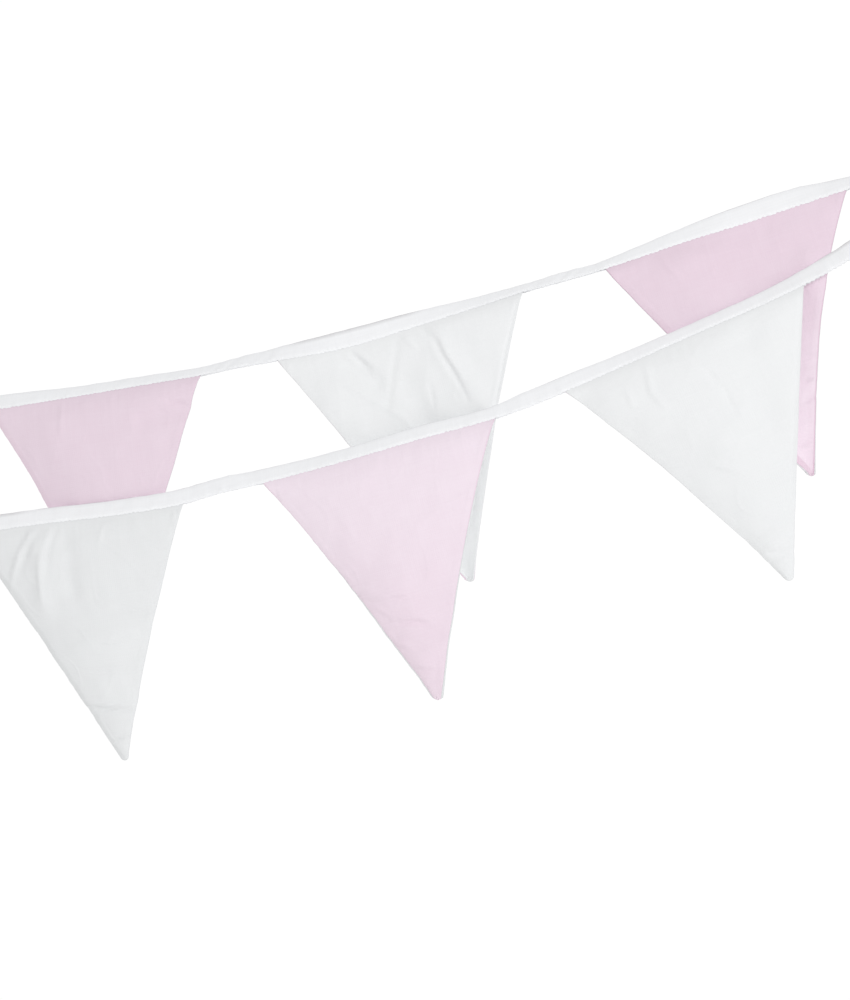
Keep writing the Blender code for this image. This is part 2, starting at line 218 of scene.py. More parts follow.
# The flags are sewn right sides together and turned, so their seams lie on the edge or are rolled a little
# to the front: how many mm of the backing show there, down the left and the right side, at the shares of
# the drop in ROLLED_AT.
ROLLED_AT = (0.0, 0.35, 0.6, 1.0)
Rolled = namedtuple("Rolled", "left right")
ROLLED = {
    "front_left": Rolled((0.2, 0.3, 0.4, 0.5), (-0.5, -0.5, -0.4, -0.3)),
    "front_middle": Rolled((0.2, 0.9, 2.0, 2.3), (0.2, 0.9, 1.6, 1.9)),
    "front_right": Rolled((0.3, 0.5, 0.5, 0.4), (-0.5, -0.5, -0.3, 0.0)),
    "back_left": Rolled((0.3, 0.4, 0.6, 1.0), (0.2, 0.4, 0.6, 1.0)),
    "back_middle": Rolled((0.4, 0.6, 0.8, 0.9), (-0.5, -0.5, -0.5, -0.3)),
    "back_right": Rolled((0.5, 0.8, 0.8, 1.0), (0.4, 0.6, 0.9, 1.0)),
}
# How deep the cloth's colour is painted: over the left and right edges, partly for the turned-in cloth
# behind and partly as painted shade, and as painted shade in the field at the tape and at the tip and close
# to the seam.
DeeperAndShaded = namedtuple("DeeperAndShaded", "left right top tip rim")
DEEPER_AND_SHADED = {
    "front_left": DeeperAndShaded(0.78, 0.40, 0.46, 0.44, 0.8),
    "front_middle": DeeperAndShaded(0.08, 0.10, 0.06, 0.42, 0.6),
    "front_right": DeeperAndShaded(0.00, 0.14, 0.24, 0.36, 0.6),
    "back_left": DeeperAndShaded(0.64, 0.58, 0.54, 0.50, 0.9),
    "back_middle": DeeperAndShaded(0.14, 0.08, 0.12, 0.00, 0.5),
    "back_right": DeeperAndShaded(0.76, 0.12, 0.74, 0.00, 1.4),
}
SEAM_SHADE_BAND = 1.4 * MM  # the band along the seam that is darkened as painted shade
WRAPPED_SHADE = 1.1  # painted shade on the backing where it is rolled to the front, along the seam

EDGE_RADIUS = 0.95 * MM  # a flag's rolled edge
# The columns near a seam, by their run from it, and the most of a row's width that they may take
EDGE_MARKS = np.array([0, 0.3, 0.6, 0.95, 1.35, 1.8, 2.4, 3.2, 4.2, 5.2, 6.2, 7.4]) * MM
EDGE_SHARE = 0.36
TURNINGS = 6.0 * MM  # width of the turned-in cloth inside a flag's long sides
EDGE_HALF = 0.95 * MM  # half of a flag's thickness over its turnings
FIELD_HALF = 0.55 * MM  # and away from them
TAPED_HALF = 0.40 * MM  # and inside the tape
CLOTH = 0.28 * MM  # one ply of cotton
SEAM_DENT = 0.22 * MM  # how deep the cloth is drawn in along its seam
IN_TAPE = 8.5 * MM  # how far a flag's top reaches up between the tape's leaves

NEAR_TAPE = 2.1 * MM  # from the front tape to the middle of the back row's flags, where they all but touch
NEAR_REACH = 17 * MM  # how far over and under the front tape's fold they are drawn to it
FORWARD = 3.0 * MM  # the most that they come forward

TAPE_HALF = 1.15 * MM  # half of the tape's thickness over a flag
BARE_HALF = 0.85 * MM  # and between the flags
TAPE_WALL = 0.6 * MM  # one leaf of the tape, folded double
STITCH_HIGH = 1.8 * MM  # the topstitching's height over the tape's lower edge
STITCH_PITCH = 3.8 * MM  # from one stitch to the next
STITCH_LONG = 2.9 * MM  # the thread that shows between two stitch holes
THREAD = 0.34 * MM  # its thickness
EDGE_DRAWN = 0.8  # share by which the tape thins towards its lower edge
PINCH = 0.22 * MM  # how deep the topstitching draws the tape in
SCALLOP = 0.75 * MM  # how far each stitch lifts the tape's lower edge
TAPE_STEP = STITCH_PITCH / 4  # spacing of the tape's rows
MEASURED_AT = 40  # the step along the tape at which its folded cloth is measured
OPENING = 9 * MM  # length over which the tape opens before a flag and closes after it
TURN_SHADE, TURN_SHADE_REACH = 0.40, 230 * MM  # painted shade: the tape is painted a little darker about the turn it is hung up by
# Where the painted shade line along the tape's fold is darker, from one x to another in mm, and over how
# far it fades
FOLD_SHADE_STRETCHES = (("front", -939, -832), ("front", -166, -25), ("back", -600, -495))
FOLD_SHADE_FADE = 12 * MM


def unit(vectors):
    """Return an array of vectors at length 1."""
    return vectors / np.linalg.norm(vectors, axis=-1, keepdims=True)


def smooth_step(low, high, value):
    """Return 0 below low, 1 above high and a soft step between them."""
    share = np.clip((value - low) / (high - low), 0, 1)
    return share * share * (3 - 2 * share)


def ripple(places, length, seed):
    """Return uneven soft waves of about one length, mostly between -1 and 1, at an array of 2-D places."""
    random = np.random.default_rng(seed)
    total = np.zeros(places.shape[:-1])
    for _ in range(7):
        turn = random.uniform(0, 2 * math.pi)
        scale = 2 * math.pi / (length * random.uniform(0.7, 1.6))
        wave = places[..., 0] * math.cos(turn) + places[..., 1] * math.sin(turn)
        total += np.sin(wave * scale + random.uniform(0, 2 * math.pi))
    return total / 3


def ripple_along(distance, length, seed):
    """Return the same along one direction."""
    random = np.random.default_rng(seed)
    total = np.zeros(distance.shape)
    for _ in range(6):
        scale = 2 * math.pi / (length * random.uniform(0.6, 1.7))
        total += np.sin(distance * scale + random.uniform(0, 2 * math.pi))
    return total / 2.6


# ---------------------------------------------------------------------------------------------------------
# The tape's route
# ---------------------------------------------------------------------------------------------------------


def tape_knots():
    """Return the stations as rows of x, y, z, depth and signed lean, from one free end to the other."""
    rows = [(s.x * MM, -TURN_RADIUS, s.z * MM, s.depth * MM, -math.radians(s.lean)) for s in FRONT_RUN]
    for turn in TURN:
        angle = math.radians(turn.angle)
        x, y = TURN_X + TURN_RADIUS * math.cos(angle), TURN_RADIUS * math.sin(angle)
        rows.append((x, y, turn.z * MM, turn.depth * MM, 0))
    rows += [(s.x * MM, TURN_RADIUS, s.z * MM, s.depth * MM, math.radians(s.lean)) for s in BACK_RUN]
    return np.array(rows)


def smooth_route(knots):
    """Return distances along the tape and the smooth rows of its knots there."""
    gaps = np.linalg.norm(np.diff(knots[:, :3], axis=0), axis=1)
    at = np.concatenate([[0], np.cumsum(gaps)])
    slopes = np.gradient(knots, at, axis=0)
    distances = np.linspace(0, at[-1], int(at[-1] / STEP) + 1)
    i = np.clip(np.searchsorted(at, distances, side="right") - 1, 0, len(at) - 2)
    span = (at[i + 1] - at[i])[:, None]
    f = (distances - at[i])[:, None] / span
    rows = (2 * f**3 - 3 * f**2 + 1) * knots[i] + (f**3 - 2 * f**2 + f) * span * slopes[i]
    rows += (3 * f**2 - 2 * f**3) * knots[i + 1] + (f**3 - f**2) * span * slopes[i + 1]
    return distances, rows


DISTANCES, ROUTE = smooth_route(tape_knots())
MIDDLE = int(np.argmax(ROUTE[:, 0]))


def distance_at(run, x):
    """Return the distance along the tape at which one of its runs has an x in metres."""
    if run == "front":
        return float(np.interp(x, ROUTE[: MIDDLE + 1, 0], DISTANCES[: MIDDLE + 1]))
    return float(np.interp(-x, -ROUTE[MIDDLE:, 0], DISTANCES[MIDDLE:]))


def route_at(distance):
    """Return the route's rows at an array of distances."""
    return np.stack([np.interp(distance, DISTANCES, column) for column in ROUTE.T], axis=-1)


Section = namedtuple("Section", "at up out rise depth lean")


def section(distance):
    """Return the tape's lower edge, its directions, depth and lean at an array of distances."""
    here = route_at(distance)
    along = unit(route_at(distance + STEP)[..., :3] - route_at(distance - STEP)[..., :3])
    rise = unit(np.array([0, 0, 1.0]) - along * along[..., 2:])
    side = np.cross(along, rise)
    lean = here[..., 4:5]
    up = rise * np.cos(lean) + side * np.sin(lean)
    out = side * np.cos(lean) - rise * np.sin(lean)
    return Section(here[..., :3], up, out, rise, here[..., 3], np.abs(lean[..., 0]))


# ---------------------------------------------------------------------------------------------------------
# The flags' middle surface
# ---------------------------------------------------------------------------------------------------------


def flag_frame(flag):
    """Return where a flag's top edge starts and ends along the tape, and the direction across it."""
    first, last = (distance_at(flag.run, x * MM) for x in (flag.left, flag.right))
    return first, last, unit(section(np.array(last)).at - section(np.array(first)).at)


FRAMES = {flag.name: flag_frame(flag) for flag in FLAGS}


def flat_place(flag, u, t):
    """Return places on a flag before its folds, and the tape's sections over them."""
    first, last, across = FRAMES[flag.name]
    over = section(first + (last - first) * u)
    tip_x = (flag.tip_x + (u - 0.5) * flag.tip) * MM
    tip_z = flag.tip_z * MM - TIP_ROUND * (1 - (2 * u - 1) ** 2)
    tip = np.stack([tip_x, over.at[..., 1], tip_z], axis=-1)
    bow = (flag.left_bow * (1 - u) - flag.right_bow * u) * MM * np.sin(np.pi * t**BOW_HIGH)
    return over.at + (tip - over.at) * t[..., None] + across * bow[..., None], over


def row_width(flag, t):
    """Return a flag's width at each share of its drop."""
    ends = [flat_place(flag, np.full(t.shape, u), t)[0] for u in (0.0, 1.0)]
    return np.linalg.norm(ends[1] - ends[0], axis=-1)


def line_height(flag, places, points, width, height, taper):
    """Return the height at each place of a fold that runs through (u, t) points and tapers at its ends."""
    ends = [flat_place(flag, np.array(u), np.array(t))[0] for u, t in points]
    lengths = [np.linalg.norm(b - a) for a, b in zip(ends, ends[1:])]
    total, before = sum(lengths), 0
    nearest, share = np.full(places.shape[:-1], np.inf), np.zeros(places.shape[:-1])
    for a, b, length in zip(ends, ends[1:], lengths):
        run = b - a
        part = np.clip(((places - a) @ run) / length**2, 0, 1)
        gap = np.linalg.norm(places - (a + run * part[..., None]), axis=-1)
        closer = gap < nearest
        nearest = np.where(closer, gap, nearest)
        share = np.where(closer, (before + part * length) / total, share)
        before += length
    fade = np.sin(np.pi * (0.08 + 0.84 * share)) ** 0.7 if taper else 1
    return height * fade * np.exp(-((nearest / width) ** 2))


def towards_front_tape(places):
    """Return how far the back row's cloth comes forward, to hang almost against the front row's tape."""
    over = section(np.interp(places[..., 0], ROUTE[: MIDDLE + 1, 0], DISTANCES[: MIDDLE + 1]))
    top = over.at + over.up * over.depth[..., None]
    gap = np.maximum(places[..., 1] - top[..., 1] - TAPE_HALF - NEAR_TAPE, 0)
    return FORWARD * np.tanh(gap / FORWARD) * np.exp(-(((places[..., 2] - top[..., 2]) / NEAR_REACH) ** 2))


def flag_place(flag, u, t):
    """Return places on a flag's middle surface. Below 0, t goes up into the tape."""
    drop = np.maximum(t, 0)
    place, over = flat_place(flag, u, drop)
    below = ((over.at - place) * over.rise).sum(-1)
    width = row_width(flag, drop)
    curl = CURLS[flag.name]
    forward = flag.swell * MM * np.sin(np.pi * u) * np.sin(np.pi * drop**BOW_HIGH)
    for fold in FOLDS:
        if fold.flag == flag.name:
            ends = ((fold.u1, fold.t1), (fold.u2, fold.t2))
            forward += line_height(flag, place, ends, fold.width * MM, fold.height * MM, False)
    left, right = np.exp(-u * width / (curl.reach * MM)), np.exp(-(1 - u) * width / (curl.reach * MM))
    forward -= (curl.left * left + curl.right * right + curl.tip * drop**4) * MM
    settled = 1 - np.exp(-((drop / SETTLE) ** 2))
    place[..., 1] -= np.tan(over.lean) * EXIT_BEND * (1 - np.exp(-below / EXIT_BEND)) + forward * settled
    if flag.run == "back":
        place[..., 1] -= towards_front_tape(place) * settled
    return place - over.up * (np.minimum(t, 0) * flag_drop(flag))[..., None]


def flag_drop(flag):
    """Return the distance from the middle of a flag's top edge to its tip."""
    middle = section(np.array((FRAMES[flag.name][0] + FRAMES[flag.name][1]) / 2)).at
    return float(np.linalg.norm(np.array([flag.tip_x * MM, middle[1], flag.tip_z * MM]) - middle))


def flag_relief(flag, u, t, cloth):
    """Return how far a flag's two plies together stand out for creases, puckers and uneven cloth."""
    seed = 20 + 10 * FLAGS.index(flag)
    drop = np.maximum(t, 0)
    place, _ = flat_place(flag, u, drop)
    width = row_width(flag, drop)
    relief = np.zeros(u.shape)
    for crease in CREASES:
        if crease.flag == flag.name:
            height = CREASE_RISE * crease.height * MM
            relief += line_height(flag, place, crease.places, crease.width * MM, height, True)
    # Broad unevenness, and a net of faint soft creases where the cloth was folded away
    relief += 0.45 * MM * ripple(cloth, 62 * MM, seed)
    relief += 0.16 * MM * ripple(cloth, 21 * MM, seed + 1)
    relief += 0.22 * MM * np.maximum(0, 1 - np.abs(ripple(cloth, 48 * MM, seed + 2)) / 0.16)
    # Puckers across the two seams and under the topstitching
    left, right = u * width, (1 - u) * width
    down = cloth[..., 1]
    relief += 0.16 * MM * ripple_along(down + 0.3 * left, 9 * MM, seed + 3) * np.exp(-left / (7 * MM))
    relief += 0.16 * MM * ripple_along(down + 0.3 * right, 9 * MM, seed + 4) * np.exp(-right / (7 * MM))
    relief += 0.30 * MM * ripple_along(cloth[..., 0], 8 * MM, seed + 5) * np.exp(-np.abs(down) / (9 * MM))
    return relief * smooth_step(0, 0.035, t) * smooth_step(0, 0.02, 1 - t)


# ---------------------------------------------------------------------------------------------------------
# The flags' plies
# ---------------------------------------------------------------------------------------------------------


def cloth_places(flag, u, t):
    """Return where each place of a flag lies on the flat cloth, in metres across and down its grain."""
    across = FRAMES[flag.name][2]
    down = np.array([across[2], 0, -across[0]])
    place, _ = flat_place(flag, u, np.maximum(t, 0))
    start, _ = flat_place(flag, np.array(0.0), np.array(0.0))
    into = np.minimum(t, 0) * flag_drop(flag)
    return np.stack([(place - start) @ across, (place - start) @ down + into], axis=-1)


def facing(flag, u, t):
    """Return the directions square to a flag's middle surface, towards the viewer."""
    near = 0.004  # share of the flag's width and of its drop
    side = flag_place(flag, np.minimum(u + near, 1), t) - flag_place(flag, np.maximum(u - near, 0), t)
    fall = flag_place(flag, u, np.minimum(t + near, 1)) - flag_place(flag, u, t - near)
    square = unit(np.cross(side, fall))
    return square * np.where(square[..., 1:2] > 0, -1, 1)


def edge_lean(flag, u):
    """Return the cosine of a flag's long side against square to its rows."""
    ends = [flat_place(flag, np.array(u), np.array(t))[0] for t in (0.1, 0.9)]
    return math.sqrt(1 - float(unit(ends[1] - ends[0]) @ FRAMES[flag.name][2]) ** 2)


def rolled_edge(run):
    """Return how far in from a flag's edge and how high on a ply's own side the cloth is, by its run.

    The run is measured round the cloth from the outermost line of the edge, and is under 0 past it.
    """
    angle = np.clip(run / EDGE_RADIUS, -math.pi / 2, math.pi / 2)
    flat = np.maximum(np.abs(run) - EDGE_RADIUS * math.pi / 2, 0)
    dent = SEAM_DENT * np.exp(-(((run - run[:, :1]) / (0.5 * MM)) ** 2))
    inward = EDGE_RADIUS - (EDGE_RADIUS - dent) * np.cos(angle) + flat
    return inward, np.sin(angle) * (1 - dent / EDGE_HALF)


def ply_rows(flag, count):
    """Return the shares of the drop that a ply's rows lie at, close together at the tape and the tip."""
    drop = flag_drop(flag)
    taped = np.array([-IN_TAPE / MM, -5, -2.2, -0.6, 0.3, 1.1, 2.0, 3.2]) * MM / drop
    field = np.linspace(4.6 * MM / drop, 1 - 3.2 * MM / drop, count)
    tip = 1 - np.array([2.3, 1.6, 1.0, 0.6, 0.3, 0.1, 0]) * MM / drop
    return np.concatenate([taped, field, tip])


def ply_surface(flag, own, columns, rows):
    """Return a ply's places, its places on the flat cloth and how deep its colour is, with painted shade.

    own is 1 for the face, towards the viewer, and -1 for the backing.
    """
    t = ply_rows(flag, rows)
    width = row_width(flag, np.maximum(t, 0))[:, None]
    lean = [edge_lean(flag, u) for u in (0.0, 1.0)]
    close = np.minimum(1, EDGE_SHARE * width * min(lean) / EDGE_MARKS[-1])
    seams = [own * np.interp(t, ROLLED_AT, shown)[:, None] * MM for shown in ROLLED[flag.name]]
    inward, raised = zip(*(rolled_edge(seam + EDGE_MARKS * close) for seam in seams))
    left, right = inward[0] / lean[0], width - inward[1][:, ::-1] / lean[1]
    shares = np.linspace(0, 1, columns)[1:-1]
    middle = left[:, -1:] + (right[:, :1] - left[:, -1:]) * shares
    x = np.concatenate([left, middle, right], axis=1)
    raised = np.concatenate([raised[0], np.ones(middle.shape), raised[1][:, ::-1]], axis=1)
    u, t = np.clip(x / width, 0, 1), np.broadcast_to(t[:, None], x.shape)
    from_left, from_right = x * lean[0], (width - x) * lean[1]
    field = smooth_step(TURNINGS - 1.2 * MM, TURNINGS + 1.8 * MM, np.minimum(from_left, from_right))
    half = EDGE_HALF - (EDGE_HALF - FIELD_HALF) * field
    half = TAPED_HALF + (half - TAPED_HALF) * smooth_step(0.2 * MM, 7 * MM, t * flag_drop(flag))
    to_tip = np.clip((1 - t) * flag_drop(flag) / EDGE_RADIUS, 0, 1)
    half = half * np.sqrt(1 - (1 - to_tip) ** 2)
    cloth = cloth_places(flag, u, t)
    relief = flag_relief(flag, u, t, cloth)
    # Each ply also puffs out a little by itself
    seed = 500 + 7 * FLAGS.index(flag) + int(own)
    puff = 0.22 * MM * (1 + ripple(cloth, 34 * MM, seed)) * field * smooth_step(0, 0.08, t)
    offset = relief + own * (raised * half + np.maximum(puff, 0))
    places = flag_place(flag, u, t) + facing(flag, u, t) * offset[..., None]
    # Painted shade deepens the colour from the tape to the tip, along the seam and on the rolled backing;
    # over the turned-in sides it is partly the cloth behind and partly painted shade
    deeper_and_shaded = DEEPER_AND_SHADED[flag.name]
    deep = deeper_and_shaded.top + (deeper_and_shaded.tip - deeper_and_shaded.top) * smooth_step(0.1, 0.8, t)
    for strength, gap in ((deeper_and_shaded.left, from_left), (deeper_and_shaded.right, from_right)):
        deep = np.maximum(deep, strength * (1 - smooth_step(TURNINGS - 0.4 * MM, TURNINGS + 0.9 * MM, gap)))
        deep = np.maximum(deep, deeper_and_shaded.rim * (1 - smooth_step(0.5 * SEAM_SHADE_BAND, 1.5 * SEAM_SHADE_BAND, gap)))
    return places, cloth, np.where(raised < 0, WRAPPED_SHADE, deep)


def placed_grid(places, towards=None):
    """Return a bmesh grid moved to an array of places, with its faces turned the way of towards."""
    rows, columns = places.shape[:2]
    bm = bmesh.new()
    bmesh.ops.create_grid(bm, x_segments=columns - 1, y_segments=rows - 1, size=0.5)
    for vert in bm.verts:
        column, row = round((vert.co.x + 0.5) * (columns - 1)), round((vert.co.y + 0.5) * (rows - 1))
        vert.co = places[row, column]
    bm.normal_update()
    if towards is not None and sum(face.normal.dot(towards) for face in bm.faces) < 0:
        bmesh.ops.reverse_faces(bm, faces=bm.faces)
    return bm


def new_piece(name, bm, material):
    """Make a smooth object of a bmesh, with one material."""
    mesh = bpy.data.meshes.new(name)
    bm.to_mesh(mesh)
    bm.free()
    mesh.polygons.foreach_set("use_smooth", [True] * len(mesh.polygons))
    mesh.materials.append(material)
    piece = bpy.data.objects.new(name, mesh)
    bpy.context.scene.collection.objects.link(piece)
    return piece


def write_cloth_map(bm, cloth, deep):
    """Give a placed grid its places on the flat cloth as a UV map in metres, and how deep its colour is,
    which carries painted shade.
    """
    grid = bm.loops.layers.uv.new("cloth")
    depth = bm.verts.layers.float.new("deeper_and_shaded")
    columns = cloth.shape[1]
    for vert in bm.verts:
        row, column = divmod(vert.index, columns)
        vert[depth] = deep[row, column]
        for loop in vert.link_loops:
            loop[grid].uv = cloth[row, column]


def make_ply(flag, own, material):
    """Make one ply of a flag, as a sheet of cloth that stands for its node."""
    columns, rows = (104, 112) if own == 1 else (72, 84)
    places, cloth, deep = ply_surface(flag, own, columns, rows)
    bm = placed_grid(places, Vector((0, -own, 0)))
    write_cloth_map(bm, cloth, deep)
    part = "face" if own == 1 else "backing"
    piece = new_piece(f"{flag.name}_{part}_cotton", bm, material)
    wall = piece.modifiers.new("ply", "SOLIDIFY")
    wall.thickness = CLOTH
    wall.offset = -1
    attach(piece, "root")
    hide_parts(f"{flag.name}_{part}")


# ---------------------------------------------------------------------------------------------------------
# The folded tape and its topstitching
# ---------------------------------------------------------------------------------------------------------


def opened_by_flags(distance):
    """Return how far the flags hold the tape open at each distance along it, from 0 to 1."""
    opened = np.zeros(distance.shape)
    for first, last, _ in FRAMES.values():
        start, end = min(first, last), max(first, last)
        closed = smooth_step(end, end + OPENING, distance)
        opened += smooth_step(start - OPENING, start, distance) * (1 - closed)
    return np.clip(opened, 0, 1)


def tape_half(distance):
    """Return half of the tape's thickness at each distance along it."""
    return BARE_HALF + (TAPE_HALF - BARE_HALF) * opened_by_flags(distance)


def tape_relief(distance, high, way):
    """Return how far one side of the tape stands out for its stitching, puckers and fullness."""
    opened = opened_by_flags(distance)
    stitch = np.cos(distance * 2 * math.pi / STITCH_PITCH)
    near = np.exp(-(((high - STITCH_HIGH) / (0.95 * MM)) ** 2))
    relief = -PINCH * near * (0.75 - 0.25 * stitch)
    across = np.stack([distance, 0.3 * high], axis=-1)
    slanting = np.stack([distance + 0.9 * high, 0.2 * high], axis=-1)
    full = smooth_step(0, 3 * MM, high)
    relief += 0.13 * MM * ripple(across, 5.5 * MM, 3 + way) * np.exp(-high / (7 * MM))
    relief += 0.16 * MM * ripple(across, 19 * MM, 7 + way) * full
    relief += 0.20 * MM * ripple(slanting, 12 * MM, 11 + way) * full * (1 - 0.7 * opened)
    return relief + 0.20 * MM * opened * full


def lower_edge(distance):
    """Return how far the tape's lower edge rises at each distance, as its stitches lift it."""
    stitch = 0.5 + 0.5 * np.cos(distance * 2 * math.pi / STITCH_PITCH)
    lifted = SCALLOP * stitch * (1 + 0.4 * ripple_along(distance, 17 * MM, 2))
    return lifted + 0.16 * MM * ripple_along(distance, 9 * MM, 1)


def leaf_outline(distance, depth, way):
    """Return one leaf's outline over the tape's sections: how far out and how high each point is.

    It runs from the middle of the fold's inside, round the leaf's lower edge, to the middle of its outside.
    """
    half = tape_half(distance)
    inner, turn = half - TAPE_WALL, depth - half
    points = [(inner * math.cos(a), turn + inner * math.sin(a)) for a in (math.pi / 2, 0.4)]
    points += [(inner, high) for high in (0.5 * depth, np.full(depth.shape, 2.6 * MM))]
    for degrees in (-15, -60, -105, -150):
        bend = math.radians(degrees)
        out = half - TAPE_WALL * (0.5 + 0.5 * math.cos(bend))
        points.append((out, np.full(depth.shape, 0.32 * MM * (1 + math.sin(bend)))))
    for high in (0.75, 1.35, 2.0, 2.7, 3.6, 5.0):
        points.append((half, np.full(depth.shape, high * MM)))
    points += [(half, 5 * MM + (turn - 5 * MM) * share) for share in (0.35, 0.7)]
    outline = []
    for out, high in points:
        rise = lower_edge(distance) * np.exp(-high / (1.5 * MM))
        relief = tape_relief(distance, high, way) * (out > half - 0.4 * TAPE_WALL)
        drawn = EDGE_DRAWN * np.exp(-high / (1.2 * MM))
        outline.append((inner + (out + relief - inner) * (1 - drawn), high + rise))
    for degrees in (4, 30, 60, 90):
        bend = math.radians(degrees)
        relief = tape_relief(distance, turn, 0 if degrees == 90 else way) * 0.8
        outline.append(((half + relief) * math.cos(bend), turn + (half + relief) * math.sin(bend)))
    return outline


def tape_depth(distance, depth, high):
    """Return how deep the tape's colour is: paler in its hem, with painted shade towards its fold, a
    painted shade line along the fold and painted shade about the turn.
    """
    fold_shaded = np.zeros(distance.shape)
    for run, *ends in FOLD_SHADE_STRETCHES:
        start, end = sorted(distance_at(run, x * MM) for x in ends)
        begun = smooth_step(start - FOLD_SHADE_FADE, start + FOLD_SHADE_FADE, distance)
        fold_shaded += begun * smooth_step(end + FOLD_SHADE_FADE, end - FOLD_SHADE_FADE, distance)
    # Painted shade: a dark line along the tape's fold, uneven along it and darker in the listed stretches
    line = np.clip(0.75 + 0.45 * ripple_along(distance, 60 * MM, 21), 0.2, 1.3) + 0.7 * fold_shaded
    fold = line * smooth_step(0.9 * MM, 0.2 * MM, depth - high)
    # The hem is left a step paler, and towards the fold the colour deepens as painted shade
    shade = 0.10 * smooth_step(2.2 * MM, 3.2 * MM, high)
    shade = shade + (0.14 + 0.75 * fold_shaded) * smooth_step(4.2 * MM, 0.6 * MM, depth - high)
    # Painted shade about the turn that the tape hangs by
    turn_shade = TURN_SHADE * np.exp(-(((distance - DISTANCES[MIDDLE]) / TURN_SHADE_REACH) ** 2))
    return np.maximum(shade, fold) + turn_shade


def make_tape(material):
    """Make the folded tape, from one free end round the turn to the other."""
    total = DISTANCES[-1]
    distance = np.linspace(0, total, round(total / TAPE_STEP) + 1)
    over = section(distance)
    front, back = leaf_outline(distance, over.depth, 1), leaf_outline(distance, over.depth, 2)
    loop = front + [(-out, high) for out, high in back[-2::-1]]
    places = np.stack([
        over.at + over.out * np.asarray(out)[:, None] + over.up * np.asarray(high)[:, None]
        for out, high in loop
    ])
    # How far round the folded cloth each point is, measured at one place near the front end
    steps = np.linalg.norm(np.diff(places[:, MEASURED_AT], axis=0), axis=1)
    round_leaf = np.concatenate([[0], np.cumsum(steps)])
    cloth = np.stack(np.broadcast_arrays(distance[None, :], round_leaf[:, None]), axis=-1)
    bm = placed_grid(places)
    write_cloth_map(bm, cloth, np.stack([tape_depth(distance, over.depth, high) for _, high in loop]))
    bmesh.ops.remove_doubles(bm, verts=bm.verts, dist=0.001 * MM)
    ends = [edge for edge in bm.edges if edge.is_boundary]
    caps = bmesh.ops.holes_fill(bm, edges=ends, sides=0)["faces"]
    bmesh.ops.triangulate(bm, faces=caps, ngon_method="EAR_CLIP")
    bmesh.ops.recalc_face_normals(bm, faces=bm.faces)
    piece = new_piece("binding_tape_cotton", bm, material)
    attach(piece, "root")
    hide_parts("binding_tape")
    return piece


def frame_of(line, outward):
    """Return the turn that lays Z along a line and X outwards."""
    z = Vector(line).normalized()
    y = z.cross(Vector(outward)).normalized()
    return Matrix((y.cross(z), y, z)).transposed().to_4x4()


def one_stitch():
    """Return the mesh of one lying thread along Z, which dips into the cloth at its ends."""
    bm = bmesh.new()
    bmesh.ops.create_uvsphere(bm, u_segments=6, v_segments=5, radius=0.5)
    bmesh.ops.scale(bm, verts=bm.verts, vec=(THREAD, THREAD, STITCH_LONG))
    mesh = bpy.data.meshes.new("stitch")
    bm.to_mesh(mesh)
    bm.free()
    return mesh


def make_topstitching(material):
    """Make the topstitching, one lying thread after another on both sides of the tape."""
    total = DISTANCES[-1]
    random = np.random.default_rng(4)
    count = int((total - 8 * MM) / STITCH_PITCH)
    bm, stitch = bmesh.new(), one_stitch()
    for way in (1, 2):
        distance = STITCH_PITCH * (2 + np.arange(count - 1))
        high = STITCH_HIGH + lower_edge(distance) * 0.3 + 0.10 * MM * random.normal(size=distance.shape)
        over = section(distance)
        side = 1 if way == 1 else -1
        out = tape_half(distance) + tape_relief(distance, high, way) + 0.10 * THREAD
        centres = over.at + over.out * (side * out)[:, None] + over.up * high[:, None]
        along = unit(np.cross(over.up, over.out))
        tilt = 0.10 * random.normal(size=distance.shape)
        lying = unit(along + over.up * tilt[:, None])
        for centre, line, outward in zip(centres, lying, over.out):
            laid = stitch.copy()
            laid.transform(Matrix.Translation(Vector(centre)) @ frame_of(line, outward))
            bm.from_mesh(laid)
            bpy.data.meshes.remove(laid)
    bpy.data.meshes.remove(stitch)
    piece = new_piece("tape_topstitching", bm, material)
    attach(piece, "root")
    return piece


# ---------------------------------------------------------------------------------------------------------
# Materials
# ---------------------------------------------------------------------------------------------------------


def linear(hex_colour):
    """Return an sRGB hex colour as linear RGBA."""
    parts = [int(hex_colour[i : i + 2], 16) / 255 for i in (1, 3, 5)]
    return (*(c / 12.92 if c <= 0.04045 else ((c + 0.055) / 1.055) ** 2.4 for c in parts), 1)


def add_node(tree, kind, inputs, **settings):
    """Add a shader node. Its inputs, by name or number, are values or the sockets to link from."""
    node = tree.nodes.new("ShaderNode" + kind)
    for name, value in settings.items():
        setattr(node, name, value)
    for name, value in inputs.items():
        if isinstance(value, bpy.types.NodeSocket):
            tree.links.new(value, node.inputs[name])
        else:
            node.inputs[name].default_value = value
    return node


def new_material(name):
    """Return a new material and its empty node tree."""
    material = bpy.data.materials.new(name)
    material.use_nodes = True
    material.node_tree.nodes.clear()
    return material, material.node_tree


# A Mix node's sockets by number, as their names are the same for values and colours
VALUE_A, VALUE_B = 2, 3
COLOUR_A, COLOUR_B, COLOUR_OUT = 6, 7, 2

# A wave texture's bands are 2 pi / 20 of a unit wide at scale 1, and its place is in metres here.
BAND = 2 * math.pi / 20

# Plain-weave quilting cotton has a thread about every 0.35 mm, which is under half a pixel here, so the
# weave is drawn with a thread every 1.7 mm to let its grain show at all.
WEAVE = 1.7 * MM
BINDING_WEAVE = 1.2 * MM  # the tape's cloth is finer
# Slubs, the thicker lengths of thread, are about 1.3 mm wide and 38 mm long as drawn.
SLUB_WIDE, SLUB_LONG = 1.3 * MM, 38 * MM
MOTTLE = 16 * MM  # size of the faint clouds where washed cotton is slightly uneven
TWIST = 0.5 * MM  # from one turn of the sewing thread to the next, as drawn


